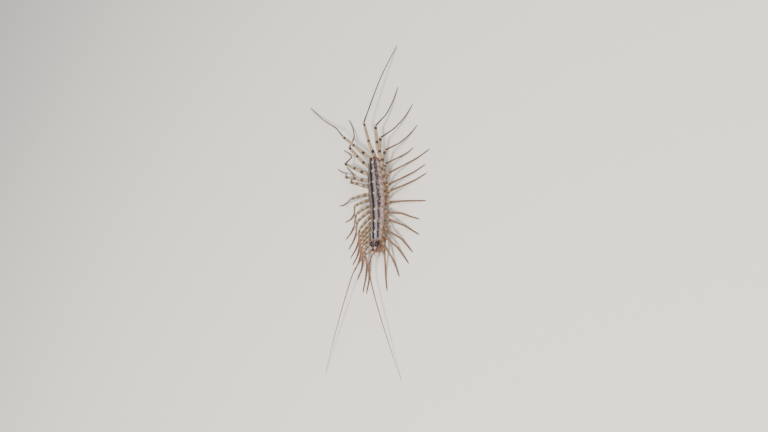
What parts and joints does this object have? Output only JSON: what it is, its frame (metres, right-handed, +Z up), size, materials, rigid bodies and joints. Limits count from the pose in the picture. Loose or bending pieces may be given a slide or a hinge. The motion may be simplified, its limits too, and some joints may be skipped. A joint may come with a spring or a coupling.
{
  "type": "house centipede",
  "caption": "House centipede standing on its long legs: a narrow back of overlapping plates, compound eyes, whip-like feelers reaching forward and the last legs trailing behind.",
  "frame": {"origin": "middle of the whole outline, feelers and trailing legs included, on the level that the feet stand on", "axes": "-Y is the way the animal faces, +X its left side, +Z up from the ground"},
  "size_m": [0.047, 0.1003, 0.0061],
  "materials": {
    "plate": "semi-gloss horny back plate, greyish beige with dark stripes",
    "trunk": "satin flank and belly, orange brown",
    "head": "semi-gloss reddish brown head shell",
    "eye": "glossy black faceted eye",
    "antenna": "satin orange-brown ringed feeler",
    "fang": "glossy brown poison claw",
    "leg": "semi-gloss olive tan, banded with dark violet black"
  },
  "bodies": {
    "root": {"trunk": "trunk", "plate_1": "plate", "plate_2": "plate", "plate_3": "plate", "plate_4": "plate", "plate_5": "plate", "plate_6": "plate", "plate_7": "plate", "plate_8": "plate", "head": "head", "eye_left": "eye", "eye_right": "eye", "antenna_left": "antenna", "antenna_right": "antenna", "fang_left": "fang", "fang_right": "fang", "leg_left_01": "leg", "leg_left_02": "leg", "leg_left_03": "leg", "leg_left_04": "leg", "leg_left_05": "leg", "leg_left_06": "leg", "leg_left_07": "leg", "leg_left_08": "leg", "leg_left_09": "leg", "leg_left_10": "leg", "leg_left_11": "leg", "leg_left_12": "leg", "leg_left_13": "leg", "leg_left_14": "leg", "leg_left_15": "leg", "leg_right_01": "leg", "leg_right_02": "leg", "leg_right_03": "leg", "leg_right_04": "leg", "leg_right_05": "leg", "leg_right_06": "leg", "leg_right_07": "leg", "leg_right_08": "leg", "leg_right_09": "leg", "leg_right_10": "leg", "leg_right_11": "leg", "leg_right_12": "leg", "leg_right_13": "leg", "leg_right_14": "leg", "leg_right_15": "leg"}
  },
  "joints": []
}
